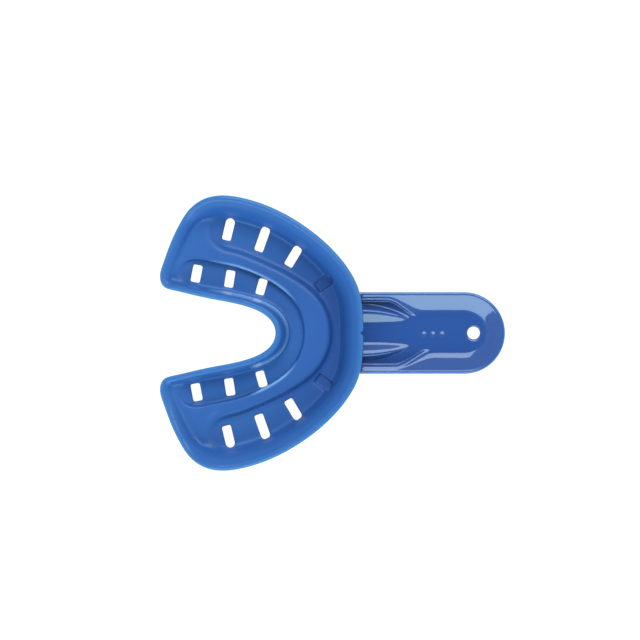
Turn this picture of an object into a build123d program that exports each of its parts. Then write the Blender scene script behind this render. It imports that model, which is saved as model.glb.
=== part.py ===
"""Perforated lower-arch dental impression tray: one plastic moulding with a flat spoon handle.

Frame: +X runs out along the handle, +Y to the left arm, +Z up out of the trough.
The origin is the centre of the footprint, on the surface that the tray rests on.
All sizes are millimetres.  The moulding is written as its named regions, which meet face to face.
"""

from build123d import *
import math
import os

# ---------------------------------------------------------------- driving dimensions
GROOVE_FLOOR = 1.6  # thickness of the sunk groove floors, whose undersides the tray rests on
PLATE = 1.8  # thickness of the raised band and the heel shelves
PLATE_TOP = GROOVE_FLOOR + PLATE
WALL = 1.6  # thickness of the flared walls at the lip
BEAD = 1.3  # how far the rim's bead stands out of the lip
LAP = 1.2  # thickness of a wall's foot, and how far a groove floor reaches under the plate
FOOT_LEDGE = 0.12  # the plate stands out from the wall's foot by this on both sides
JOIN_GAP = 0.02  # the handle's regions end this far from the back of the wall

# Half outline of the rim in plan, from the front centre round the left heel to the inner front centre.
RIM_HALF = [
    (8.6, 0.0), (8.35, 6.5), (6.9, 13.2), (3.3, 19.5), (-2.6, 25.9), (-10.0, 31.5), (-18.6, 36.0),
    (-25.8, 38.25), (-31.5, 38.95), (-36.6, 38.0), (-40.7, 35.2), (-43.7, 30.8), (-46.3, 25.3),
    (-48.4, 19.6), (-49.2, 16.0), (-48.3, 13.5), (-45.4, 12.35), (-40.5, 11.2), (-34.8, 9.95),
    (-28.3, 8.7), (-22.8, 7.15), (-19.2, 5.3), (-16.9, 2.9), (-16.1, 0.0),
]
# Stations count these points from the front centre to the left; the right half has the same ones below zero.
GROOVE_END, OUTER_END, INNER_START, INNER_GROOVE_END = 8, 10, 15, 17

# Rim height and plan width of the wall, as (station, value).
RIM_HEIGHTS = [(0, 13.6), (4, 13.2), (8, 11.6), (11, 6.6), (13, 5.4), (15, 5.4), (18, 8.6), (20, 10.4), (23, 11.6)]
WALL_WIDTHS = [(0, 5.6), (4, 5.3), (9, 5.3), (11, 3.0), (13, 2.1), (16, 2.0), (19, 2.5), (23, 3.4)]

# The raised band between the grooves: left half of each edge, from the front centre back.
BAND_OUTER_HALF = [(-0.5, 0.0), (-1.2, 4.8), (-4.2, 10.3), (-9.0, 14.5), (-15.2, 18.1), (-21.8, 21.1), (-28.5, 23.5)]
BAND_INNER_HALF = [(-8.2, 0.0), (-8.9, 4.4), (-11.3, 9.2), (-15.6, 13.2), (-21.5, 16.5), (-28.5, 19.0), (-35.5, 20.4)]
OUTER_GROOVE_BACK = [(-33.2, 25.0), (-35.2, 27.6), (-35.4, 30.8)]
INNER_GROOVE_BACK = [(-40.3, 20.9), (-43.2, 19.3), (-43.9, 16.6)]

# Retention slots of the left arm: centre x and y, tilt from the Y axis in degrees, length, width.
OUTER_SLOTS = [(-29.8, 29.7, 13.5, 6.4, 2.6), (-20.1, 26.9, 19.5, 7.4, 2.6), (-11.2, 22.0, 31.0, 6.5, 2.6)]
INNER_SLOTS = [(-39.0, 17.0, 11.0, 5.0, 2.7), (-29.5, 15.5, 9.0, 4.9, 2.6), (-20.4, 13.2, 16.0, 4.6, 2.5)]
BLIND_SLOTS = [(-2.4, 14.4, 52.0, 5.2, 3.0)]
BLIND_DEPTH = 0.7
SLOT_CORNER_R = 0.35

HANDLE_TIP_X = 49.2
HANDLE_HALF_WIDTH = 11.7
HANDLE_BOTTOM_Z = 2.2
HANDLE_FLOOR_Z = 4.0
HANDLE_TOP_Z = 7.4
HANDLE_START_X = 1.0  # inside the bowl: the front wall cuts the handle off
HANDLE_WAIST_X = 22.0
HANDLE_TURN_X = HANDLE_TIP_X - HANDLE_HALF_WIDTH
RIM_LAND = 1.1
# Half width of the handle's shell at the root and beyond the waist, as (z, root, beyond).
HULL_LEVELS = [(HANDLE_BOTTOM_Z, 10.2, 7.7), (HANDLE_TOP_Z, HANDLE_HALF_WIDTH, HANDLE_HALF_WIDTH)]
HOLLOW_LEVELS = [(HANDLE_FLOOR_Z, 9.3, 6.4), (HANDLE_TOP_Z, HANDLE_HALF_WIDTH - RIM_LAND, HANDLE_HALF_WIDTH - RIM_LAND)]
HANG_HOLE_X = 40.3
HANG_HOLE_R = 1.8

RIB_CENTRE = (8.0, 5.3)
RIB_TURN = 5.0  # degrees that a rib leans in toward the handle's middle
RIB_RADII = (14.6, 2.8, 1.6)
PIP_CENTRE = (28.6, -0.6)
PIP_PITCH = 2.6
PIP_R = 0.9
PIP_RISE = 0.35

NOTCH_WIDTH = 1.4
NOTCH_DEPTH = 0.8


# ---------------------------------------------------------------- helpers
def mirrored(half):
    """A whole open outline, left end first, from its left half, which starts on the X axis."""
    return list(reversed(half)) + [(x, -y) for x, y in half[1:]]


def both_sides(rows):
    return [made for x, y, *rest in rows for made in ((x, y, *rest), (x, -y, *rest))]


def spaced(first, last, count):
    return [first + (last - first) * i / (count - 1) for i in range(count)]


def eased(station, keys):
    """Smooth value at a station from (station, value) keys."""
    for (s0, v0), (s1, v1) in zip(keys, keys[1:]):
        if station <= s1:
            t = max(0.0, (station - s0) / (s1 - s0))
            return v0 + (v1 - v0) * t * t * (3 - 2 * t)
    return keys[-1][1]


def bezier(points, t):
    weights = ((1 - t) ** 3, 3 * t * (1 - t) ** 2, 3 * t * t * (1 - t), t ** 3)
    return tuple(sum(w * p[i] for w, p in zip(weights, points)) for i in (0, 1))


def loft_solid(sections, ruled=False):
    return loft(sections, ruled=ruled).solid()


def prism(points, bottom, height):
    """Upright solid over a smooth closed outline."""
    outline = Spline(*[Vector(x, y, bottom) for x, y in points], periodic=True)
    return extrude(Face(Wire([outline])), height, dir=(0, 0, 1))


# ---------------------------------------------------------------- the rim loop and its wall
class RimLoop:
    """The closed rim outline and what the wall is like at each station of it."""

    def __init__(self, half):
        points = list(half) + [(x, -y) for x, y in reversed(half[1:-1])]
        self.count = len(points)
        self.curve = Spline(*points, periodic=True)
        self.params = [0.0] + [self.curve.param_at_point(p) for p in points[1:]] + [1.0]

    def at(self, station):
        """Point and inward normal at a station."""
        station %= self.count
        low = int(math.floor(station))
        share = station - low
        u = self.params[low] * (1 - share) + self.params[low + 1] * share
        along = self.curve.tangent_at(u)
        return self.curve.position_at(u), Vector(-along.Y, along.X, 0).normalized()

    def from_front(self, station):
        station %= self.count
        return min(station, self.count - station)

    def height(self, station):
        return eased(self.from_front(station), RIM_HEIGHTS)

    def width(self, station):
        return eased(self.from_front(station), WALL_WIDTHS)

    def place(self, station, flat_points):
        """Section points (distance in from the rim, height) as points in space."""
        point, inward = self.at(station)
        return [Vector(point.X + inward.X * d, point.Y + inward.Y * d, z) for d, z in flat_points]

    def back(self, station):
        """How far in from the rim the back of the wall's foot is."""
        return max(self.width(station) - LAP, BEAD + 0.15)

    def plan_line(self, inset, first, last, count):
        """Plan points at an inset, given as a function of the station."""
        feet = [self.place(s, [(inset(s), 0)])[0] for s in spaced(first, last, count)]
        return [(foot.X, foot.Y) for foot in feet]


RIM = RimLoop(RIM_HALF)
CURVE_STEPS = spaced(0, 1, 7)


def wall_curves(station):
    """The wall's trough side and back: a steep foot that turns out into a nearly level lip."""
    w, h = RIM.width(station), RIM.height(station)
    rise = h - PLATE_TOP
    inside = [(w, PLATE_TOP), (0.86 * w, PLATE_TOP + 0.55 * rise), (0.72 * w, h), (BEAD, h)]
    back = [
        (RIM.back(station), PLATE_TOP),
        (max(0.86 * w - 1.5, BEAD + 0.05), PLATE_TOP + 0.5 * (rise - WALL)),
        (max(0.6 * w, BEAD + 0.02), h - WALL),
        (BEAD, h - WALL),
    ]
    return [bezier(inside, t) for t in CURVE_STEPS], [bezier(back, t) for t in CURVE_STEPS]


def wall_section(station):
    inside, back = wall_curves(station)
    up = Spline(*RIM.place(station, inside))
    down = Spline(*RIM.place(station, back[::-1]))
    return Face(Wire([up, Line(up @ 1, down @ 0), down, Line(down @ 1, up @ 0)]))


def bead_section(station):
    h = RIM.height(station)
    top, nose, under = RIM.place(station, [(BEAD, h), (0, h - WALL / 2), (BEAD, h - WALL)])
    return Face(Wire([ThreePointArc(top, nose, under), Line(under, top)]))


def heel_section(station):
    """Wall and bead in one, for the low rim of a heel."""
    inside, back = wall_curves(station)
    h = RIM.height(station)
    up = Spline(*RIM.place(station, inside))
    down = Spline(*RIM.place(station, back[::-1]))
    nose = RIM.place(station, [(0, h - WALL / 2)])[0]
    return Face(Wire([up, ThreePointArc(up @ 1, nose, down @ 0), down, Line(down @ 1, up @ 0)]))


def along_rim(section, first, last, count):
    return loft_solid([section(s) for s in spaced(first, last, count)])


def rim_notch():
    """The small relief nick at the front centre of the rim."""
    tip_x = RIM_HALF[0][0] - NOTCH_DEPTH
    mouth_x = RIM_HALF[0][0] + 1
    outline = Polyline((tip_x, 0), (mouth_x, NOTCH_WIDTH), (mouth_x, -NOTCH_WIDTH), close=True)
    return extrude(make_face(outline), 2 * RIM_HEIGHTS[0][1])


# ---------------------------------------------------------------- plate, grooves and slots
def groove_outline(foot, back_half, band_half):
    """Closed outline from the foot of the wall, seen right to left, round to the band's edge."""
    right = [(x, -y) for x, y in back_half]
    return foot + back_half[::-1] + mirrored(band_half) + right


def inside_foot(station):
    return RIM.width(station) + FOOT_LEDGE


def outer_groove_outline():
    foot = RIM.plan_line(inside_foot, -GROOVE_END, GROOVE_END, 2 * GROOVE_END + 1)
    return groove_outline(foot, OUTER_GROOVE_BACK, BAND_OUTER_HALF)


def inner_groove_outline():
    foot = RIM.plan_line(inside_foot, RIM.count - INNER_GROOVE_END, INNER_GROOVE_END, 13)
    return groove_outline(foot, INNER_GROOVE_BACK, BAND_INNER_HALF)[::-1]


def slot_plan(x, y, tilt, length, width, round_end):
    """One retention slot.  Its round end, where it has one, points away from the arch's middle."""
    shape = RectangleRounded(width, length, SLOT_CORNER_R)
    if round_end:
        inner_half = Pos(0, -length / 4) * Rectangle(width, length / 2)
        shape = (shape & inner_half) + SlotOverall(length, width, rotation=90)
    lean = -tilt if y > 0 else 180 + tilt
    return Pos(x, y) * Rot(0, 0, lean) * shape


def grown(outline, by):
    """A closed outline moved outward by so much."""
    curve = Spline(*outline, periodic=True)
    along = [curve.tangent_at(curve.param_at_point(point)) for point in outline]
    return [(x + by * a.Y, y - by * a.X) for (x, y), a in zip(outline, along)]


def groove_floor(outline, slots, round_end):
    """The sunk floor of a groove, lapped under the plate around it, with its retention slots."""
    floor = prism(grown(outline, LAP), 0, GROOVE_FLOOR)
    for slot in both_sides(slots):
        floor -= extrude(slot_plan(*slot, round_end), GROOVE_FLOOR, dir=(0, 0, 1))
    return floor.solid()


def outer_groove_floor():
    floor = groove_floor(outer_groove_outline(), OUTER_SLOTS, True)
    for slot in both_sides(BLIND_SLOTS):
        pocket = extrude(slot_plan(*slot, True), 2 * BLIND_DEPTH, dir=(0, 0, 1))
        floor -= Pos(0, 0, GROOVE_FLOOR - BLIND_DEPTH) * pocket
    return floor.solid()


def inner_groove_floor():
    return groove_floor(inner_groove_outline(), INNER_SLOTS, False)


def occlusal_plate():
    """The raised band, both heel shelves and the strip that the walls stand on, open over the grooves."""
    outline = RIM.plan_line(lambda station: RIM.back(station) - FOOT_LEDGE, 0, RIM.count, 2 * RIM.count + 1)
    plate = prism(outline[:-1], GROOVE_FLOOR, PLATE)
    plate -= prism(outer_groove_outline(), GROOVE_FLOOR, PLATE)
    plate -= prism(inner_groove_outline(), GROOVE_FLOOR, PLATE)
    return plate.solid()


# ---------------------------------------------------------------- handle
def tongue(z, root_half, half):
    """A tongue outline: sides that draw in from root_half to half, and a round end."""
    right = Spline((HANDLE_START_X, -root_half, z), (HANDLE_WAIST_X, -half, z), (HANDLE_TURN_X, -half, z))
    left = Spline((HANDLE_TURN_X, half, z), (HANDLE_WAIST_X, half, z), (HANDLE_START_X, root_half, z))
    end = ThreePointArc(right @ 1, (HANDLE_TURN_X + half, 0, z), left @ 0)
    return Face(Wire([right, end, left, Line(left @ 1, right @ 0)]))


def bowl_fill():
    """Everything inside the back of the front wall and the plate's edge, where the handle has to stop."""
    reach, above, below = 13.0, RIM_HEIGHTS[0][1] + 3, -2.0

    def section(station):
        back = [(d - JOIN_GAP, z) for d, z in wall_curves(station)[1]]
        foot, lip = back[0][0], back[-1][0]
        edge = foot - FOOT_LEDGE
        around = [(lip, above), (reach, above), (reach, below), (edge, below), (edge, PLATE_TOP)]
        curve = Spline(*RIM.place(station, back))
        stops = [curve @ 1, *RIM.place(station, around), curve @ 0]
        return Face(Wire([curve, *[Line(a, b) for a, b in zip(stops, stops[1:])]]))

    return loft_solid([section(s) for s in spaced(-4, 4, 17)])


def handle_parts():
    """Floor and side wall of the spoon handle, split at the floor's top."""
    stop = bowl_fill()
    hull = loft_solid([tongue(*level) for level in HULL_LEVELS], ruled=True) - stop
    hollow = loft_solid([tongue(*level) for level in HOLLOW_LEVELS], ruled=True)
    slab = Pos(0, 0, (HANDLE_BOTTOM_Z + HANDLE_FLOOR_Z) / 2) * Box(200, 200, HANDLE_FLOOR_Z - HANDLE_BOTTOM_Z)
    hole = Pos(HANG_HOLE_X, 0, HANDLE_FLOOR_Z) * Cylinder(HANG_HOLE_R, 10)
    return (hull & slab) - hole, hull - slab - hollow, stop


def rib(side, stop):
    """A long leaf-shaped rib that runs from the front wall out along the handle's floor."""
    leaf = scale(Sphere(1), by=RIB_RADII)
    leaf = Pos(RIB_CENTRE[0], side * RIB_CENTRE[1], HANDLE_FLOOR_Z) * Rot(0, 0, -side * RIB_TURN) * leaf
    room = Box(50, 50, 20, align=(Align.MIN, Align.CENTER, Align.MIN))
    return ((leaf & Pos(HANDLE_START_X, 0, HANDLE_FLOOR_Z) * room) - stop).solid()


def size_pips():
    pip = Cylinder(PIP_R, PIP_RISE, align=(Align.CENTER, Align.CENTER, Align.MIN))
    x, y = PIP_CENTRE
    return [Pos(x + i * PIP_PITCH, y, HANDLE_FLOOR_Z) * pip for i in (-1, 0, 1)]


# ---------------------------------------------------------------- the regions of the moulding
def regions():
    loop = RIM.count
    handle_floor, handle_side_wall, stop = handle_parts()
    return {
        "occlusal_plate": occlusal_plate(),
        "outer_groove_floor": outer_groove_floor(),
        "inner_groove_floor": inner_groove_floor(),
        "outer_flange": along_rim(wall_section, -OUTER_END, OUTER_END, 41),
        "outer_rim_bead": along_rim(bead_section, -OUTER_END, OUTER_END, 41) - rim_notch(),
        "inner_flange": along_rim(wall_section, INNER_START, loop - INNER_START, 33),
        "inner_rim_bead": along_rim(bead_section, INNER_START, loop - INNER_START, 33),
        "left_heel_rim": along_rim(heel_section, OUTER_END, INNER_START, 11),
        "right_heel_rim": along_rim(heel_section, -INNER_START, -OUTER_END, 11),
        "handle_floor": handle_floor,
        "handle_side_wall": handle_side_wall,
        "left_handle_rib": rib(1, stop),
        "right_handle_rib": rib(-1, stop),
        "size_pips": Compound(children=size_pips()),
    }


if __name__ == "__main__":
    os.makedirs("parts", exist_ok=True)
    for node, shape in regions().items():
        export_step(shape, f"parts/{node}.step")
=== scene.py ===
"""Looks of the perforated impression tray: one glossy blue moulding, in the regions that the CAD model names.

The tray is described as a solid field in millimetres.  Walls, floors, grooves, slots and the handle are
distance functions, blended together with small fillets as in a mould, and the field is then turned into one
closed mesh per region.  Neighbouring regions share their points and their normals, so no seam shows.
"""

import math
import bpy
import numpy as np
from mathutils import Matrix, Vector


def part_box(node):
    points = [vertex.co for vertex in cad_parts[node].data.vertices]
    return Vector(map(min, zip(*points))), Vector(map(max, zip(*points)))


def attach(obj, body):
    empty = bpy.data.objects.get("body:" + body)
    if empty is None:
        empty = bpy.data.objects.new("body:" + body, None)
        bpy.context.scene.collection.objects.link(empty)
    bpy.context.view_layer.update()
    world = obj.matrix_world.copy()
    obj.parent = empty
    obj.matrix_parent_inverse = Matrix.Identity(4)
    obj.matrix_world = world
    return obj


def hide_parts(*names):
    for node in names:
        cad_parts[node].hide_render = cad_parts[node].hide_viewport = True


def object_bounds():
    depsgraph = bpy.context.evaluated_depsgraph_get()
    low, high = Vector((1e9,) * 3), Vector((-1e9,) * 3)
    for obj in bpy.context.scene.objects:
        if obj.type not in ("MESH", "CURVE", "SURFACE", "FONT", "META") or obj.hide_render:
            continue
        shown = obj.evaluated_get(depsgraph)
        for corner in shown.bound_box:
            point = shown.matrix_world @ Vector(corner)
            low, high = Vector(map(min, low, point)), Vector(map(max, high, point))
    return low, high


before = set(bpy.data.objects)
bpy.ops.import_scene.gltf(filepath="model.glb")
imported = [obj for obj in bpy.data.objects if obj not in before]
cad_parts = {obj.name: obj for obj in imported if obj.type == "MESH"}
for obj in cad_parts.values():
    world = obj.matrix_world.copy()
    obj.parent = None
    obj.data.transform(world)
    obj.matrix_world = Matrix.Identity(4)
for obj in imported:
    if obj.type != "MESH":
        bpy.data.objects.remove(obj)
cad_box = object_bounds()

# ---------------------------------------------------------------- driving dimensions, in millimetres
MM = 0.001
PITCH = 0.26  # spacing of the grid that the field is sampled on
MARGIN = 2  # how far outside a part its plan columns are still computed
TINY = 0.01  # a length too short to see, which keeps divisors from being zero
SLOPE_REACH = 0.9 * PITCH  # the field's slope is measured between points this far to either side
MOST_PULL = 0.3 * PITCH  # how far a mesh point may be moved onto the surface
GROOVE_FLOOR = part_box("outer_groove_floor")[1][2] / MM
PLATE_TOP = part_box("occlusal_plate")[1][2] / MM
HANDLE_BOTTOM_Z, HANDLE_FLOOR_Z = [corner[2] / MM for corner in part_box("handle_floor")]
HANDLE_TIP_X, HANDLE_HALF_WIDTH, HANDLE_TOP_Z = [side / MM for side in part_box("handle_side_wall")[1]]
HANDLE_TURN_X = HANDLE_TIP_X - HANDLE_HALF_WIDTH
HANDLE_ROOT_X = 4

BEAD = 1.3  # plan width of the bead along the wall's lip
BEAD_R = 0.72
LIP_R, FOOT_R = 0.66, 0.62  # half the wall's thickness at its lip and at its foot
LAP = 1.2  # how far a floor runs on under the wall or the plate beside it
FOOT_LEDGE = 0.12  # strip of plate between the wall's foot and a groove
FOOT_CLEARANCE = 0.15  # least plan distance between the bead and the foot's outer face
PLATE_UNDERSIDE = GROOVE_FLOOR - 0.4

# The middle line of the wall's section is a cubic curve.
WALL_FOOT_SINK = 0.6  # it starts this far under the plate's top
WALL_FOOT_PULL = (0.9, 0.42)  # its second point, as shares of the wall's plan width and of its rise
WALL_LIP_PULL = (0.62, 0.12)  # the same for its third, with the rise counted down from the lip
WALL_LIP_RUN = 0.3  # and the least run of that point to the lip
WALL_STEPS, HANDLE_STEPS = 20, 8  # straight steps that stand for that curve, and for the handle wall's arc

# Half outline of the rim in plan, from the front centre round the left heel to the inner front centre.
RIM_HALF = [
    (8.6, 0.0), (8.35, 6.5), (6.9, 13.2), (3.3, 19.5), (-2.6, 25.9), (-10.0, 31.5), (-18.6, 36.0),
    (-25.8, 38.25), (-31.5, 38.95), (-36.6, 38.0), (-40.7, 35.2), (-43.7, 30.8), (-46.3, 25.3),
    (-48.4, 19.6), (-49.2, 16.0), (-48.3, 13.5), (-45.4, 12.35), (-40.5, 11.2), (-34.8, 9.95),
    (-28.3, 8.7), (-22.8, 7.15), (-19.2, 5.3), (-16.9, 2.9), (-16.1, 0.0),
]

# Stations count the points of that half outline from the front centre: where the outer groove, the outer
# wall, the inner wall and the inner groove end, and the rim's height and the wall's plan width by station.
GROOVE_END, OUTER_END, INNER_START, INNER_GROOVE_END = 8, 10, 15, 17
RIM_HEIGHTS = [
    (0, 13.6), (4, 13.2), (8, 11.6), (11, 6.0), (13, 4.5), (15, 4.7), (18, 8.4), (20, 10.4), (23, 11.6),
]
WALL_WIDTHS = [(0, 5.6), (4, 5.3), (9, 5.3), (11, 3.5), (13, 2.9), (16, 2.3), (19, 2.5), (23, 3.4)]

# Left half of the raised band's two sides in plan, and the back ends of the grooves beside it.
BAND_OUTER_HALF = [
    (-0.5, 0.0), (-1.2, 4.8), (-4.2, 10.3), (-9.0, 14.5), (-15.2, 18.1), (-21.8, 21.1), (-28.5, 23.5),
]
BAND_INNER_HALF = [
    (-8.2, 0.0), (-8.9, 4.4), (-11.3, 9.2), (-15.6, 13.2), (-21.5, 16.5), (-28.5, 19.0), (-35.5, 20.4),
]
OUTER_GROOVE_BACK = [(-33.2, 25.0), (-35.2, 27.6), (-35.4, 30.8)]
INNER_GROOVE_BACK = [(-40.3, 20.9), (-43.2, 19.3), (-43.9, 16.6)]
OUTER_GROOVE_FADE, INNER_GROOVE_FADE = (-29.0, -35.5), (-38.0, -44.0)  # x from and to which a floor rises
FADE_RISE = 0.9  # that rise, to the depth of the groove

# Retention slots of the left arm: centre x and y, tilt from the Y axis in degrees, length, width.
OUTER_SLOTS = [(-29.8, 29.7, 13.5, 6.4, 2.6), (-20.1, 26.9, 19.5, 7.4, 2.6), (-11.2, 22.0, 31.0, 6.5, 2.6)]
INNER_SLOTS = [(-39.0, 17.0, 11.0, 5.0, 2.7), (-29.5, 15.5, 9.0, 4.9, 2.6), (-20.4, 13.2, 16.0, 4.6, 2.5)]
BLIND_SLOT = (-2.4, 14.4, 52.0, 5.2, 3.0)  # the recess at the front, which doesn't go through
BLIND_DEPTH = 0.7
SLOT_CORNER_R = 0.35
SLOT_TOP = PLATE_TOP - 0.5  # a slot is cut up to here, so that it leaves the wall above it whole

# The handle: plan width of its side walls, as (x, width), and the slope that they keep to.
LEFT_HANDLE_WALL = [(15.5, 1.6), (26.0, 6.9)]
RIGHT_HANDLE_WALL = [(17.5, 1.6), (29.5, 6.9)]
HANDLE_EDGE_R = 0.65
HANDLE_WALL_BEND = 0.8  # radius of the wall's curved foot, to its plan width
HANDLE_WALL_SLOPE = math.radians(40)
HANDLE_WALL_LAP = 0.6  # how far the wall's foot runs in under the floor
HANG_HOLE_X, HANG_HOLE_R = 40.3, 1.8
RIB_ROOT_X, RIB_TIP_X = 9.0, 23.0
RIB_INNER_Y, RIB_OUTER_Y = (2.2, 3.3), (8.3, 4.0)  # a rib's two sides, at its root and its tip
RIB_CREST = 0.66  # place of its crest between them
RIB_STEEPNESS = 0.29  # height of the crest, to the rib's width there
RIB_INNER_POWER, RIB_OUTER_POWER, RIB_END_POWER = 2, 1.8, 6  # how late its sides bend, and how late it ends
RIB_SLANT, PIP_SLANT = 0.85, 0.9  # share of a height over the hill that is square to its slope
PIP_CENTRE = (28.6, -0.6)
PIP_PITCH, PIP_R, PIP_RISE = 2.6, 1.0, 0.4
PIP_SKIRT = 1.3  # reach of a pip's foot, to its radius
RELIEF_SINK, RELIEF_DEPTH = 0.06, 0.6  # how far a rib or pip is sunk, and how far it reaches down

# The nick in the lip at the front centre, which starts at a height above the plate.
NOTCH_HALF_WIDTH, NOTCH_DEPTH, NOTCH_HEIGHT = 0.7, 0.8, 6
NOTCH_SLANT = 0.75  # share of a distance across the nick that is square to its slanted sides

# Fillets and rounded edges.
TOUCH_R = 0.01  # for parts that meet with no fillet
BEAD_FILLET = 0.9
PLATE_EDGE_R, WALL_FOOT_FILLET = 0.3, 1.4
BAND_OUTER_R, BAND_INNER_R = 1.5, 0.7
GROOVE_EDGE_R, OUTER_GROOVE_FILLET, INNER_GROOVE_FILLET = 0.5, 1.6, 0.7
HANDLE_FLOOR_R, HANDLE_ROOT_FILLET, HANDLE_WALL_FILLET = 0.4, 0.8, 0.05
RELIEF_R, RELIEF_FILLET = 0.2, 0.12
SLOT_EDGE_R, HANG_HOLE_EDGE_R, NOTCH_EDGE_R = 0.35, 0.6, 0.3

# Where the plastic changes its look, and where light and shade are painted into its colour.
EDGE_REACH, LIP_REACH = 0.5, 2.4  # how far in from a free edge painted light shows, as if shining through the thin plastic
CREST_OFFSET, CREST_REACH = 0.3, 0.38  # the painted highlight, a lighter line along the band's inner edge
CREST_HEIGHT = 0.5  # that line is only this far above the groove's floor and higher
LEFT_CREST, RIGHT_CREST = (-36, 10), (-24, 4)  # that line fades in from an x on each arm, over a length
FRONT_CREST = (10, 4)  # and the same at the front, along -X
ARMS_X = -22  # painted shade in the trough grows from here to the front
LOW_RAMP, SUNK_RAMP = (-6.5, 5), (-1.44, 1.2)  # ramps of painted shade along -Z: down the walls, and in the grooves
GROOVE_RAMP = (-1.8, 3)  # painted shade across the edge of the outer groove
# how much painted shade the arms, the front, the outer groove and the handle get
ARMS_SHADE, FRONT_SHADE, GROOVE_SHADE, HANDLE_SHADE = 0.3, 0.15, 0.25, 0.92
LEVEL_RAMP, LEVEL_GLOSS = (0.5, 0.4), 0.35  # faces that look up are a little polished


# ---------------------------------------------------------------- plan curves
def eased(station, keys):
    """Smooth values at an array of stations from (station, value) keys."""
    value = np.full(np.shape(station), float(keys[0][1]))
    for (s0, v0), (s1, v1) in zip(keys, keys[1:]):
        t = np.clip((station - s0) / (s1 - s0), 0, 1)
        value += (v1 - v0) * t * t * (3 - 2 * t)
    return value


def mirrored(half):
    """A half curve that starts on the X axis, made whole from its left end to its right end."""
    return list(reversed(half)) + [(x, -y) for x, y in half[1:]]


def both_sides(rows):
    """Rows that start with x and y, each followed by its mirror image."""
    return [made for x, y, *rest in rows for made in ((x, y, *rest), (x, -y, *rest))]


class Outline:
    """A closed smooth plan curve through a few points, run anticlockwise."""

    FINE = 48  # samples between one point and the next
    BLOCK = 4096  # plan points that are measured at once

    def __init__(self, points):
        p = np.array(points, float)
        ahead = np.roll(p, -1, 0)
        h = np.linalg.norm(ahead - p, axis=1)
        bend = self.second_derivatives(p, h)
        u = np.arange(self.FINE)[None, :, None] / self.FINE * h[:, None, None]
        v = h[:, None, None] - u
        span = h[:, None, None]
        here, there = p[:, None], ahead[:, None]
        bend_here, bend_there = bend[:, None], np.roll(bend, -1, 0)[:, None]
        curve = (bend_here * v**3 + bend_there * u**3) / (6 * span)
        curve += (here / span - bend_here * span / 6) * v + (there / span - bend_there * span / 6) * u
        self.count = len(p)
        self.points = curve.reshape(-1, 2)
        self.stations = np.arange(len(self.points)) / self.FINE
        step = (np.roll(self.points, -1, 0) - np.roll(self.points, 1, 0)) / 2
        self.step = np.linalg.norm(step, axis=1)
        self.along = step / self.step[:, None]
        self.inward = np.stack([-self.along[:, 1], self.along[:, 0]], 1)

    @staticmethod
    def second_derivatives(p, h):
        """Of the closed cubic spline through points p, whose spans have the lengths h."""
        n = len(p)
        rows = np.arange(n)
        system = np.zeros((n, n))
        system[rows, rows - 1] += np.roll(h, 1)
        system[rows, rows] += 2 * (h + np.roll(h, 1))
        system[rows, (rows + 1) % n] += h
        slope = (np.roll(p, -1, 0) - p) / h[:, None]
        return np.linalg.solve(system, 6 * (slope - np.roll(slope, 1, 0)))

    def inset_line(self, inset, first, last):
        """One plan point inside the curve for each station, at an inset that is a function of the station."""
        stations = np.linspace(first, last, abs(last - first) + 1)
        at = np.round(stations * self.FINE).astype(int) % len(self.points)
        moved = self.points[at] + self.inward[at] * inset(stations)[:, None]
        return [tuple(point) for point in moved]

    def measure(self, x, y):
        """Signed distance inside the curve, and the station of the nearest point, for plan arrays."""
        places = np.stack([x.ravel(), y.ravel()], 1)
        nearest = np.empty(len(places), int)
        for first in range(0, len(places), self.BLOCK):
            block = slice(first, first + self.BLOCK)
            dx = places[block, 0][:, None] - self.points[None, :, 0]
            dy = places[block, 1][:, None] - self.points[None, :, 1]
            nearest[block] = (dx**2 + dy**2).argmin(1)
        off = places - self.points[nearest]
        inset = (off * self.inward[nearest]).sum(1)
        ahead = (off * self.along[nearest]).sum(1) / self.step[nearest] / self.FINE
        return inset.reshape(x.shape), (self.stations[nearest] + ahead).reshape(x.shape)


def from_front(station):
    """Stations counted from the front centre on either side."""
    station = station % RIM.count
    return np.minimum(station, RIM.count - station)


def rim_height(station):
    return eased(from_front(station), RIM_HEIGHTS)


def wall_width(station):
    return eased(from_front(station), WALL_WIDTHS)


def wall_back(station):
    """Inset of the wall's outer face at its foot."""
    return np.maximum(wall_width(station) - LAP, BEAD + FOOT_CLEARANCE)


def inside_foot(station):
    """Inset of the line where the trough's floor begins."""
    return wall_width(station) + FOOT_LEDGE


def groove_outline(foot, back_half, band_half):
    """A groove's plan outline: along the wall's foot, round one back end, along the band, round the other."""
    return foot + back_half[::-1] + mirrored(band_half) + [(x, -y) for x, y in back_half]


RIM = Outline(RIM_HALF + [(x, -y) for x, y in reversed(RIM_HALF[1:-1])])
OUTER_FOOT = RIM.inset_line(inside_foot, -GROOVE_END, GROOVE_END)
OUTER_GROOVE = Outline(groove_outline(OUTER_FOOT, OUTER_GROOVE_BACK, BAND_OUTER_HALF))
INNER_FOOT = RIM.inset_line(inside_foot, RIM.count - INNER_GROOVE_END, INNER_GROOVE_END)
INNER_GROOVE = Outline(groove_outline(INNER_FOOT, INNER_GROOVE_BACK, BAND_INNER_HALF)[::-1])


# ---------------------------------------------------------------- distance functions
def joined(a, b, fillet):
    """Union of two solids with a fillet where they meet."""
    h = np.maximum(fillet - np.abs(a - b), 0) / fillet
    return np.minimum(a, b) - h * h * fillet / 4


def common(a, b, round_over):
    """Intersection of two solids with the new edge rounded over."""
    return -joined(-a, -b, round_over)


def slab(z, bottom, top):
    """Distance to a level slab."""
    return np.abs(z - (bottom + top) / 2) - (top - bottom) / 2


def box_distance(across, along, half_width, half_length, corner):
    """Plan distance to a rectangle with rounded corners."""
    dx = np.abs(across) - half_width + corner
    dy = np.abs(along) - half_length + corner
    return np.hypot(np.maximum(dx, 0), np.maximum(dy, 0)) + np.minimum(np.maximum(dx, dy), 0) - corner


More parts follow.
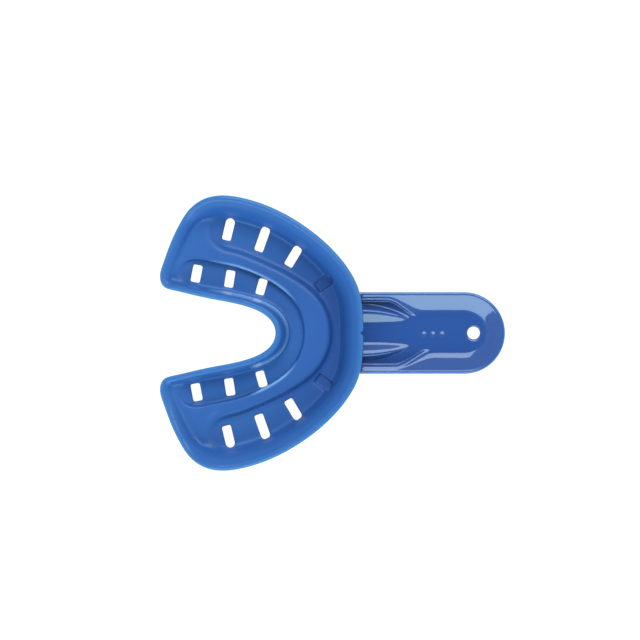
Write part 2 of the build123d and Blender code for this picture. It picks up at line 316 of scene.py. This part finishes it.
def slot_distance(x, y, slot, round_end):
    """Plan distance to one retention slot, whose round end points out of the arch."""
    cx, cy, tilt, length, width = slot
    lean = math.radians(tilt if cy > 0 else 180 - tilt)
    along = (x - cx) * math.sin(lean) + (y - cy) * math.cos(lean)
    across = (x - cx) * math.cos(lean) - (y - cy) * math.sin(lean)
    if not round_end:
        return box_distance(across, along, width / 2, length / 2, SLOT_CORNER_R)
    square_part = box_distance(across, along + length / 4, width / 2, length / 4, SLOT_CORNER_R)
    round_part = box_distance(across, along, width / 2, length / 2, width / 2 - TOUCH_R)
    body = box_distance(across, along + width / 4, width / 2, length / 2 - width / 4, SLOT_CORNER_R)
    return np.where(along > 0, round_part, np.minimum(square_part, body))


def sheet_distance(inset, z, curve, half_start, half_end):
    """Distance to a bent sheet.

    Its section is a chain of (inset, height) points, with half its thickness given at both ends of the chain.
    """
    best = np.full((len(inset), len(z)), np.inf)
    steps = len(curve) - 1
    for i in range(steps):
        (d0, z0), (d1, z1) = curve[i], curve[i + 1]
        ex, ez = (d1 - d0)[:, None], (z1 - z0)[:, None]
        px, pz = (inset - d0)[:, None], z[None, :] - z0[:, None]
        t = np.clip((px * ex + pz * ez) / (ex * ex + ez * ez), 0, 1)
        half = half_start + (half_end - half_start) * (i + t) / steps
        best = np.minimum(best, np.hypot(px - t * ex, pz - t * ez) - half)
    return best


def bezier_chain(controls, steps):
    """Points along a cubic whose control points are arrays of (inset, height)."""
    chain = []
    for t in np.linspace(0, 1, steps + 1):
        weights = ((1 - t) ** 3, 3 * t * (1 - t) ** 2, 3 * t * t * (1 - t), t**3)
        chain.append(tuple(sum(w * c[k] for w, c in zip(weights, controls)) for k in (0, 1)))
    return chain


def handle_inset(x, y):
    """Plan distance inside the handle's outline, which ends in a half circle."""
    return HANDLE_HALF_WIDTH - np.hypot(np.maximum(x - HANDLE_TURN_X, 0), y)


# ---------------------------------------------------------------- profiles
def wave(off):
    """Half a cosine wave, from 1 at 0 down to 0 at 1."""
    return 0.5 + 0.5 * np.cos(np.pi * off)


def bell(distance, reach):
    """Falls smoothly from 1 at no distance to nearly 0 at twice the reach."""
    return np.exp(-((distance / reach) ** 2))


def ramp(value, start, length):
    """Rises from 0 at start to 1 over a length."""
    return np.clip((value - start) / length, 0, 1)


# ---------------------------------------------------------------- the tray as a field
class Tray:
    """The solid field on a grid: negative inside the plastic, with the region that each sample belongs to."""

    REGIONS = [
        "occlusal_plate", "outer_groove_floor", "inner_groove_floor", "outer_flange", "outer_rim_bead",
        "inner_flange", "inner_rim_bead", "left_heel_rim", "right_heel_rim", "handle_floor",
        "handle_side_wall", "left_handle_rib", "right_handle_rib", "size_pips",
    ]

    BORDER = 3  # empty samples round the tray
    EMPTY = 9.0  # the field's value before anything is added

    def __init__(self):
        low, high = [np.array(corner) / MM for corner in cad_box]
        low, high = low - self.BORDER * PITCH, high + self.BORDER * PITCH
        self.axes = [np.arange(a, b + PITCH, PITCH) for a, b in zip(low, high)]
        self.x, self.y = np.meshgrid(self.axes[0], self.axes[1], indexing="ij")
        self.z = self.axes[2]
        self.field = np.full((*self.x.shape, len(self.z)), self.EMPTY, np.float32)
        self.nearest_part = self.field.copy()
        self.label = np.zeros(self.field.shape, np.int8)
        self.inset, self.station = RIM.measure(self.x, self.y)
        self.outer_groove = OUTER_GROOVE.measure(self.x, self.y)[0]
        self.inner_groove = INNER_GROOVE.measure(self.x, self.y)[0]
        self.add_walls()
        self.add_floors()
        self.add_handle()
        self.cut_slots()
        self.cut_hole_and_nick()
        self.settle()

    def number(self, name):
        """A region's number in the label array, where 0 is air."""
        return self.REGIONS.index(name) + 1

    def add(self, part, number, fillet, columns):
        """Joins a part to the field over the plan columns given, as one region or one for each sample."""
        part = part.astype(np.float32)
        self.field[columns] = joined(self.field[columns], part, fillet)
        closer = part < self.nearest_part[columns]
        self.label[columns] = np.where(closer, number, self.label[columns])
        self.nearest_part[columns] = np.minimum(self.nearest_part[columns], part)

    def cut(self, hole, round_over, columns):
        """Takes a hole out of the field, over the plan columns given."""
        self.field[columns] = common(self.field[columns], -hole.astype(np.float32), round_over)

    def settle(self):
        """Softens the field, then gives each sample in the plastic a region, and takes it from the others."""
        self.label[self.field > 0] = 0
        self.field = soften(self.field)
        self.label[self.field > 0] = 0
        self.label[(self.field <= 0) & (self.label == 0)] = self.number("occlusal_plate")

    def wall_chain(self, station):
        """Middle line of the wall's section: a steep foot that turns out into a nearly level lip."""
        width, height = wall_width(station), rim_height(station)
        rise = height - PLATE_TOP
        foot = (width - FOOT_R, np.full(width.shape, PLATE_TOP - WALL_FOOT_SINK))
        above_foot = (WALL_FOOT_PULL[0] * width - FOOT_R, PLATE_TOP + WALL_FOOT_PULL[1] * rise)
        run = np.maximum(WALL_LIP_PULL[0] * width, LIP_R + WALL_LIP_RUN)
        before_lip = (run, height - LIP_R - WALL_LIP_PULL[1] * rise)
        lip = (np.full(width.shape, LIP_R), height - LIP_R)
        return bezier_chain((foot, above_foot, before_lip, lip), WALL_STEPS)

    def wall_regions(self, station, inset):
        """Region numbers of the wall: flange or bead, outer or inner, or a heel's rim."""
        number = self.number
        side = from_front(station)[:, None]
        bead = (inset[:, None] < BEAD) & (self.z[None, :] > PLATE_TOP)
        outer = np.where(bead, number("outer_rim_bead"), number("outer_flange"))
        inner = np.where(bead, number("inner_rim_bead"), number("inner_flange"))
        left = (station % RIM.count < RIM.count / 2)[:, None]
        heel = np.where(left, number("left_heel_rim"), number("right_heel_rim"))
        return np.where(side < OUTER_END, outer, np.where(side < INNER_START, heel, inner))

    def add_walls(self):
        """The wall all round the rim, with the bead along its lip."""
        near = (self.inset > -MARGIN) & (self.inset < 4 * MARGIN)
        station, inset = self.station[near], self.inset[near]
        wall = sheet_distance(inset, self.z, self.wall_chain(station), FOOT_R, LIP_R)
        rim_z = rim_height(station)[:, None] - LIP_R
        bead = np.hypot(inset[:, None] - BEAD_R, self.z[None, :] - rim_z) - BEAD_R
        self.add(joined(wall, bead, BEAD_FILLET), self.wall_regions(station, inset), TOUCH_R, near)

    def add_floors(self):
        """The plate with the raised band, then the sunk floors of the two grooves."""
        near = self.inset > -MARGIN
        z = self.z[None, :]
        outer = self.outer_groove[near][:, None]
        inner = self.inner_groove[near][:, None]
        edge = (wall_back(self.station[near]) - FOOT_LEDGE - self.inset[near])[:, None]
        plate = common(edge, slab(z, PLATE_UNDERSIDE, PLATE_TOP), PLATE_EDGE_R)
        plate = common(common(plate, outer, BAND_OUTER_R), inner, BAND_INNER_R)
        self.add(plate, self.number("occlusal_plate"), WALL_FOOT_FILLET, near)
        rise = FADE_RISE * (PLATE_TOP - GROOVE_FLOOR)
        for name, inside, (start, stop), fillet in (
            ("outer_groove_floor", outer, OUTER_GROOVE_FADE, OUTER_GROOVE_FILLET),
            ("inner_groove_floor", inner, INNER_GROOVE_FADE, INNER_GROOVE_FILLET),
        ):
            top = GROOVE_FLOOR + eased(-self.x[near], [(-start, 0), (-stop, rise)])[:, None]
            floor = common(-inside - LAP, slab(z, 0, top), GROOVE_EDGE_R)
            self.add(floor, self.number(name), fillet, near)

    def add_handle(self):
        """The handle's floor and side wall, which stop at the trough, and what is raised on the floor."""
        columns = (self.x > -MARGIN) & (np.abs(self.y) < HANDLE_HALF_WIDTH + MARGIN / 2)
        x, y = self.x[columns], self.y[columns]
        inset = handle_inset(x, y)
        width = np.where(y > 0, eased(x, LEFT_HANDLE_WALL), eased(x, RIGHT_HANDLE_WALL))
        bowl = self.bowl(columns)
        level_sheet = slab(self.z[None, :], HANDLE_BOTTOM_Z, HANDLE_FLOOR_Z)
        floor = common((width - inset)[:, None], level_sheet, HANDLE_FLOOR_R)
        self.add(common(floor, bowl, TOUCH_R), self.number("handle_floor"), HANDLE_ROOT_FILLET, columns)
        half = (HANDLE_FLOOR_Z - HANDLE_BOTTOM_Z) / 2
        chain = self.handle_chain(width, HANDLE_BOTTOM_Z + half)
        wall = sheet_distance(inset, self.z, chain, half, HANDLE_EDGE_R)
        self.add(common(wall, bowl, TOUCH_R), self.number("handle_side_wall"), HANDLE_WALL_FILLET, columns)
        self.add_ribs(columns, bowl)
        self.add_pips(columns)

    @staticmethod
    def handle_chain(width, level):
        """Section of the handle's wall: along the middle of the floor, up an arc and up a straight slope."""
        top = HANDLE_TOP_Z - HANDLE_EDGE_R
        reach = width - HANDLE_EDGE_R
        bend = HANDLE_WALL_BEND * reach
        beyond = reach - bend * math.sin(HANDLE_WALL_SLOPE)
        sloped = bend * (1 - math.cos(HANDLE_WALL_SLOPE)) + beyond * math.tan(HANDLE_WALL_SLOPE)
        sloped = np.minimum(sloped, top - level - 2 * TINY)
        slant = np.arctan2(sloped - bend, reach) + np.arcsin(bend / np.hypot(reach, sloped - bend))
        chain = [(width + HANDLE_WALL_LAP, np.full(width.shape, level)), (width, np.full(width.shape, level))]
        for turn in np.linspace(0, 1, HANDLE_STEPS + 1)[:, None] * slant:
            chain.append((width - bend * np.sin(turn), top - sloped + bend * (1 - np.cos(turn))))
        chain.append((np.full(width.shape, HANDLE_EDGE_R), np.full(width.shape, top)))
        return chain

    def relief(self, height, slant):
        """A low hill on the handle's floor, with its height at each plan column."""
        top = (HANDLE_FLOOR_Z + height - RELIEF_SINK)[:, None]
        z = self.z[None, :]
        return common((z - top) * slant, HANDLE_FLOOR_Z - RELIEF_DEPTH - z, RELIEF_R)

    def add_ribs(self, columns, bowl):
        """Two leaves from the trough's wall, each with its crest nearer the handle's side."""
        x, y = self.x[columns], self.y[columns]
        ahead = np.clip((x - RIB_ROOT_X) / (RIB_TIP_X - RIB_ROOT_X), 0, 1)
        inner = RIB_INNER_Y[0] + (RIB_INNER_Y[1] - RIB_INNER_Y[0]) * ahead**RIB_INNER_POWER
        outer = RIB_OUTER_Y[0] + (RIB_OUTER_Y[1] - RIB_OUTER_Y[0]) * ahead**RIB_OUTER_POWER
        crest = inner + RIB_CREST * (outer - inner)
        full_height = RIB_STEEPNESS * (outer - inner) * (1 - ahead**RIB_END_POWER)
        for side, name in ((1, "left_handle_rib"), (-1, "right_handle_rib")):
            off = y * side - crest
            off = np.abs(off) / np.maximum(np.where(off > 0, outer - crest, crest - inner), TINY)
            inside = (off < 1) & (x < RIB_TIP_X)
            near = columns.copy()
            near[columns] = inside
            rib = self.relief((full_height * wave(off))[inside], RIB_SLANT)
            self.add(common(rib, bowl[inside], TOUCH_R), self.number(name), RELIEF_FILLET, near)

    def add_pips(self, columns):
        """Three low domes in a row, where a tray's size is marked."""
        x, y = self.x[columns], self.y[columns]
        for place in (-PIP_PITCH, 0, PIP_PITCH):
            off = np.hypot(x - PIP_CENTRE[0] - place, y - PIP_CENTRE[1]) / (PIP_SKIRT * PIP_R)
            near = columns.copy()
            near[columns] = off < 1
            pip = self.relief(PIP_RISE * wave(off[off < 1]), PIP_SLANT)
            self.add(pip, self.number("size_pips"), RELIEF_FILLET, near)

    def surface_marks(self, points, normals):
        """What the shading needs at each point, from 0 to 1.

        edge and lip: how near it is to a free edge, where painted light shows as if through thin plastic.
        deep: how much
        painted shade it gets.  crest: how near it is to the band's inner edge, which gets a painted
        highlight.  gloss: how polished it is.
        """
        x, y, z = points.T
        above_floor = z - GROOVE_FLOOR
        rim = np.maximum(self.plan_sample(self.inset, x, y), 0)
        on_handle = (x > HANDLE_ROOT_X) & ((rim <= 0) | (z < HANDLE_TOP_Z))
        # painted light near free edges, as if shining through the thin plastic
        edge = bell(np.where(on_handle, handle_inset(x, y), rim), EDGE_REACH)
        lip = np.where(on_handle, 0, bell(rim, LIP_REACH))

        low = ramp(-above_floor, *LOW_RAMP)
        sunk = ramp(-above_floor, *SUNK_RAMP)
        front = ramp(x, ARMS_X, -ARMS_X)
        groove = ramp(self.plan_sample(self.outer_groove, x, y), *GROOVE_RAMP)
        # painted shade: darker low down toward the front and in the outer groove, a share on the arms that is
        # taken off in the grooves, and the handle darker all over
        deep = ARMS_SHADE - ARMS_SHADE * sunk * (1 - front) + front * low * (FRONT_SHADE + GROOVE_SHADE * groove)
        deep = np.where(on_handle, HANDLE_SHADE, deep)

        # a painted highlight along the band's inner edge, which is also polished there
        crest = bell(self.plan_sample(self.inner_groove, x, y) + CREST_OFFSET, CREST_REACH)
        crest = crest * (above_floor > CREST_HEIGHT) * ramp(-x, *FRONT_CREST)
        crest = crest * np.where(y > 0, ramp(x, *LEFT_CREST), ramp(x, *RIGHT_CREST))
        level = ramp(normals[:, 2], *LEVEL_RAMP)
        gloss = np.where(on_handle, 1, np.maximum(crest, LEVEL_GLOSS * level))
        return {"edge": edge, "lip": lip, "deep": deep, "crest": crest, "gloss": gloss}

    def plan_sample(self, plan, x, y):
        """A plan array's values at plan points, by linear interpolation."""
        place = [(value - axis[0]) / PITCH for value, axis in zip((x, y), self.axes)]
        i, j = [np.clip(p.astype(int), 0, n - 2) for p, n in zip(place, plan.shape)]
        u, v = place[0] - i, place[1] - j
        near = plan[i, j] * (1 - v) + plan[i, j + 1] * v
        far = plan[i + 1, j] * (1 - v) + plan[i + 1, j + 1] * v
        return near * (1 - u) + far * u

    def bowl(self, columns):
        """How far a sample is into the bowl's inside, where the handle has to stop."""
        station, inset = self.station[columns], self.inset[columns]
        chain = self.wall_chain(station)
        middle = np.empty((len(inset), len(self.z)))
        heights = np.array([z for _, z in chain])
        insets = np.array([d for d, _ in chain])
        for column in range(len(inset)):
            middle[column] = np.interp(self.z, heights[:, column], insets[:, column])
        return inset[:, None] - middle

    def cut_slots(self):
        """The retention slots, which go through, and the blind recesses."""
        z = self.z[None, :]
        through = z - SLOT_TOP
        blind = np.abs(z - SLOT_TOP) - SLOT_TOP + GROOVE_FLOOR - BLIND_DEPTH
        for rows, round_end, extent in (
            (OUTER_SLOTS, True, through),
            (INNER_SLOTS, False, through),
            ([BLIND_SLOT], True, blind),
        ):
            for slot in both_sides(rows):
                plan = slot_distance(self.x, self.y, slot, round_end)
                near = plan < MARGIN
                self.cut(np.maximum(plan[near][:, None], extent), SLOT_EDGE_R, near)

    def cut_hole_and_nick(self):
        """The hanging hole in the handle, and the small nick in the lip at the front centre."""
        z = self.z[None, :]
        hole = np.hypot(self.x - HANG_HOLE_X, self.y) - HANG_HOLE_R
        near = hole < MARGIN
        self.cut(hole[near][:, None] + 0 * z, HANG_HOLE_EDGE_R, near)
        front_x = RIM_HALF[0][0]
        half_width = (self.x - front_x + NOTCH_DEPTH) * NOTCH_HALF_WIDTH / NOTCH_DEPTH
        nick = (np.abs(self.y) - half_width) * NOTCH_SLANT
        near = nick < MARGIN
        self.cut(np.maximum(nick[near][:, None], PLATE_TOP + NOTCH_HEIGHT - z), NOTCH_EDGE_R, near)


# ---------------------------------------------------------------- from the field to meshes
def sample(tray, points):
    """The field's values at points, by linear interpolation between the grid's samples."""
    place = [(points[:, k] - tray.axes[k][0]) / PITCH for k in range(3)]
    low = [np.clip(p.astype(int), 0, n - 2) for p, n in zip(place, tray.field.shape)]
    share = [p - c for p, c in zip(place, low)]
    value = 0
    for corner in np.ndindex(2, 2, 2):
        weight = 1
        for k in range(3):
            weight = weight * (share[k] if corner[k] else 1 - share[k])
        value = value + weight * tray.field[tuple(c + o for c, o in zip(low, corner))]
    return value


def gradient(tray, points):
    """The field's slope at points."""
    slopes = []
    for k in range(3):
        step = np.zeros(3)
        step[k] = SLOPE_REACH
        slopes.append(sample(tray, points + step) - sample(tray, points - step))
    return np.stack(slopes, 1) / (2 * SLOPE_REACH)


def soften(field):
    """One light blur along each axis, as a moulded edge is never sharp."""
    for axis in range(3):
        ahead, behind = np.roll(field, -1, axis), np.roll(field, 1, axis)
        field = 0.5 * field + 0.25 * (ahead + behind)
    return field


def cell_points(tray):
    """One point in each grid cell that a surface or a region border passes through.

    Also says which of these points are on the surface, and gives each cell's number, or -1 for no point.
    """
    label, field = tray.label, tray.field
    cells = tuple(n - 1 for n in label.shape)

    def corner(data, offset):
        return data[tuple(slice(o, o + n) for o, n in zip(offset, cells))]

    corners = list(np.ndindex(2, 2, 2))
    first = corner(label, corners[0])
    mixed = np.zeros(cells, bool)
    for offset in corners[1:]:
        mixed |= corner(label, offset) != first
    where = np.nonzero(mixed)
    number = np.full(cells, -1, int)
    number[where] = np.arange(len(where[0]))
    sums = [np.zeros((len(where[0]), 3)), np.zeros((len(where[0]), 3))]
    counts = [np.zeros(len(where[0])), np.zeros(len(where[0]))]
    for a in corners:
        for axis in range(3):
            if a[axis]:
                continue
            b = tuple(o + (k == axis) for k, o in enumerate(a))
            la, lb = corner(label, a)[where], corner(label, b)[where]
            fa, fb = corner(field, a)[where], corner(field, b)[where]
            surface = (la == 0) != (lb == 0)
            border = (la != lb) & ~surface
            t = np.where(surface, fa / np.where(surface, fa - fb, 1), 0.5)
            at = np.tile(np.array(a, float), (len(t), 1))
            at[:, axis] += t
            for kind, chosen in enumerate((surface, border)):
                sums[kind] += at * chosen[:, None]
                counts[kind] += chosen
    on_surface = counts[0] > 0
    total = np.where(on_surface[:, None], sums[0], sums[1])
    offset = total / np.where(on_surface, counts[0], counts[1])[:, None]
    origin = np.array([axis[0] for axis in tray.axes])
    points = origin + (np.stack(where, 1) + offset) * PITCH
    return points, on_surface, number


def quads(tray, number):
    """Where two neighbouring samples differ: the four cells round them, and the region of either."""
    label = tray.label
    n = label.shape
    found = []
    for axis in range(3):
        a, b = [k for k in range(3) if k != axis]
        near, far = [slice(1, size - 1) for size in n], [slice(1, size - 1) for size in n]
        near[axis], far[axis] = slice(0, n[axis] - 1), slice(1, n[axis])
        la, lb = label[tuple(near)], label[tuple(far)]
        at = np.nonzero(la != lb)
        base = [at[k] + (0 if k == axis else 1) for k in range(3)]
        ring = []
        for da, db in ((-1, -1), (0, -1), (0, 0), (-1, 0)):
            cell = list(base)
            cell[a] = base[a] + da
            cell[b] = base[b] + db
            ring.append(number[tuple(cell)])
        ring = np.stack(ring, 1)
        if axis == 1:
            ring = ring[:, ::-1]
        found.append((ring, la[at], lb[at]))
    return found


def region_meshes(tray):
    """Name, points, faces, normals and surface marks of each region's closed mesh."""
    points, on_surface, number = cell_points(tray)
    slope = gradient(tray, points)
    steep = np.maximum((slope * slope).sum(1), 0.05)
    pull = np.clip(sample(tray, points) / steep, -MOST_PULL, MOST_PULL)
    points = points - slope * (pull * on_surface)[:, None]
    slope = gradient(tray, points)
    normals = slope / np.maximum(np.linalg.norm(slope, axis=1), 1e-6)[:, None]
    marks = tray.surface_marks(points, normals)
    borders = quads(tray, number)
    for index, name in enumerate(tray.REGIONS, 1):
        faces = [ring[la == index] for ring, la, lb in borders]
        faces += [ring[lb == index][:, ::-1] for ring, la, lb in borders]
        used, local = np.unique(np.concatenate(faces), return_inverse=True)
        chosen = {mark: values[used] for mark, values in marks.items()}
        yield name, points[used], local.reshape(-1, 4), normals[used], chosen


def make_piece(name, points, faces, normals, marks):
    mesh = bpy.data.meshes.new(name)
    mesh.vertices.add(len(points))
    mesh.vertices.foreach_set("co", (points * MM).ravel())
    mesh.loops.add(faces.size)
    mesh.loops.foreach_set("vertex_index", faces.ravel())
    mesh.polygons.add(len(faces))
    mesh.polygons.foreach_set("loop_start", np.arange(0, faces.size, 4))
    mesh.update(calc_edges=True)
    mesh.polygons.foreach_set("use_smooth", np.ones(len(faces), bool))
    mesh.normals_split_custom_set_from_vertices(normals)
    for mark, values in marks.items():
        mesh.attributes.new(mark, "FLOAT", "POINT").data.foreach_set("value", values)
    piece = bpy.data.objects.new(f"moulded_{name}", mesh)
    bpy.context.scene.collection.objects.link(piece)
    return piece


# ---------------------------------------------------------------- materials
class NodeTree:
    """A short way to add and link shader nodes."""

    def __init__(self, name):
        self.material = bpy.data.materials.new(name)
        self.material.use_nodes = True
        self.nodes, self.links = self.material.node_tree.nodes, self.material.node_tree.links
        self.shader = self.nodes["Principled BSDF"]

    def add(self, kind, settings=(), **values):
        node = self.nodes.new("ShaderNode" + kind)
        for key, value in dict(settings).items():
            setattr(node, key, value)
        for socket, value in values.items():
            self.feed(node, socket.replace("_", " "), value)
        return node

    def feed(self, node, socket, value):
        """Links an output socket, or sets a constant."""
        if isinstance(value, bpy.types.NodeSocket):
            self.links.new(value, node.inputs[socket])
        else:
            node.inputs[socket].default_value = value

    def mark(self, name):
        return self.add("Attribute", {"attribute_name": name}).outputs["Fac"]

    def blend(self, share, a, b):
        """Colour a where share is 0, b where it is 1."""
        node = self.add("Mix", {"data_type": "RGBA"})
        for place, value in ((0, share), (6, a), (7, b)):
            self.feed(node, place, value)
        return node.outputs[2]

    def scaled(self, value, low, high):
        """A 0 to 1 value stretched to low to high."""
        return self.add("MapRange", Value=value, To_Min=low, To_Max=high).outputs["Result"]


def blue_plastic():
    """Blue plastic: satin in the trough, polished on the handle, with painted light where it thins at free
    edges, painted shade in the trough and a painted highlight along the band's inner edge.
    """
    tree = NodeTree("blue_plastic")
    place = tree.add("TexCoord").outputs["Object"]
    cloud = tree.add("TexNoise", Vector=place, Scale=90.0, Detail=3.0).outputs["Fac"]
    grain = tree.add("TexNoise", Vector=place, Scale=900.0, Detail=2.0).outputs["Fac"]
    colour = tree.blend(cloud, (0.0285, 0.106, 0.325, 1), (0.0360, 0.122, 0.360, 1))
    for mark, most, tone in (
        # painted shade in the trough, and the handle's darker tone
        ("deep", 1.0, (0.0205, 0.062, 0.235, 1)),
        # painted light near free edges, as if shining through the thin plastic
        ("lip", 0.35, (0.028, 0.125, 0.345, 1)),
        ("edge", 0.55, (0.04, 0.20, 0.43, 1)),
        # painted highlight along the band's inner edge
        ("crest", 0.75, (0.27, 0.48, 0.80, 1)),
    ):
        colour = tree.blend(tree.scaled(tree.mark(mark), 0.0, most), colour, tone)
    tree.feed(tree.shader, "Base Color", colour)
    gloss = tree.mark("gloss")
    satin = tree.scaled(grain, 0.42, 0.52)
    polish = tree.scaled(grain, 0.07, 0.12)
    roughness = tree.add("Mix", Factor=gloss, A=satin, B=polish).outputs["Result"]
    tree.feed(tree.shader, "Roughness", roughness)
    tree.feed(tree.shader, "Specular IOR Level", tree.scaled(gloss, 0.04, 0.86))
    tree.feed(tree.shader, "IOR", 1.46)
    ripple = tree.add("Bump", Height=cloud, Strength=0.2, Distance=0.0006).outputs["Normal"]
    tree.feed(tree.shader, "Normal", ripple)
    return tree.material


def white_floor():
    tree = NodeTree("white_floor")
    tree.feed(tree.shader, "Base Color", (0.06, 0.06, 0.06, 1))
    tree.feed(tree.shader, "Roughness", 0.9)
    tree.feed(tree.shader, "Emission Color", (1, 1, 1, 1))
    tree.feed(tree.shader, "Emission Strength", 1.0)
    return tree.material


# ---------------------------------------------------------------- the studio, in metres
FLOOR_SIZE, FLOOR_LEVEL = 3, -0.0002
CAMERA_SENSOR = 36  # in millimetres
CAMERA_PLACE, CAMERA_HEIGHT = (-0.00363, 0.0037), 1.2
VIEW_WIDTH, VIEW_LEVEL = 0.1824, 0.008  # the width that the camera sees, at this height above the floor


def add_floor():
    """A plain white floor, a hair under the tray."""
    bpy.ops.mesh.primitive_plane_add(size=FLOOR_SIZE, location=(0, 0, FLOOR_LEVEL))
    floor = bpy.context.object
    floor.name = "floor"
    floor.data.materials.append(white_floor())


def soft_light(name, place, aim, size, watts, tint):
    """A rectangular lamp at a place, turned to its aim."""
    light = bpy.data.lights.new(name, "AREA")
    light.shape = "RECTANGLE"
    light.size, light.size_y = size
    light.energy = watts
    light.color = tint
    holder = bpy.data.objects.new(name, light)
    bpy.context.scene.collection.objects.link(holder)
    holder.location = place
    holder.rotation_euler = (Vector(aim) - Vector(place)).to_track_quat("-Z", "Y").to_euler()
    return holder


def add_studio():
    """Two soft lamps, a fill that doesn't show in reflections, and surroundings that are darker overhead."""
    soft_light(
        "near_side_light",
        place=(-0.18, -0.77, 0.43), aim=(0.02, 0, 0), size=(1.25, 0.71), watts=11.5, tint=(0.66, 0.94, 1.0),
    )
    soft_light(
        "far_side_light",
        place=(0.17, 0.53, 0.73), aim=(0.10, 0, 0), size=(0.66, 0.66), watts=5.5, tint=(0.8, 0.96, 1.0),
    )
    fill = soft_light(
        "fill_light",
        place=(0.0, 0.64, 0.64), aim=(0, 0, 0), size=(1.2, 0.8), watts=5.5, tint=(1.0, 1.0, 1.0),
    )
    fill.visible_glossy = False
    world = bpy.data.worlds.new("studio")
    world.use_nodes = True
    nodes, links = world.node_tree.nodes, world.node_tree.links
    direction = nodes.new("ShaderNodeTexCoord").outputs["Generated"]
    split = nodes.new("ShaderNodeSeparateXYZ")
    links.new(direction, split.inputs["Vector"])
    overhead = nodes.new("ShaderNodeMapRange")
    for socket, value in (("From Min", 0.75), ("From Max", 0.95), ("To Min", 0.6), ("To Max", 0.1)):
        overhead.inputs[socket].default_value = value
    links.new(split.outputs["Z"], overhead.inputs["Value"])
    links.new(overhead.outputs["Result"], nodes["Background"].inputs["Strength"])
    nodes["Background"].inputs["Color"].default_value = (0.78, 0.93, 1, 1)
    bpy.context.scene.world = world


def add_camera():
    """Looks straight down, over the middle of the tray."""
    camera = bpy.data.cameras.new("camera")
    camera.sensor_width = CAMERA_SENSOR
    camera.lens = CAMERA_SENSOR * (CAMERA_HEIGHT - VIEW_LEVEL) / VIEW_WIDTH
    holder = bpy.data.objects.new("camera", camera)
    holder.location = (*CAMERA_PLACE, CAMERA_HEIGHT)
    bpy.context.scene.collection.objects.link(holder)
    bpy.context.scene.camera = holder


plastic = blue_plastic()
for name, *shape in region_meshes(Tray()):
    piece = make_piece(name, *shape)
    piece.data.materials.append(plastic)
    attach(piece, "root")
    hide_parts(name)
add_floor()
add_studio()
add_camera()
bpy.context.scene.view_settings.view_transform = "Standard"
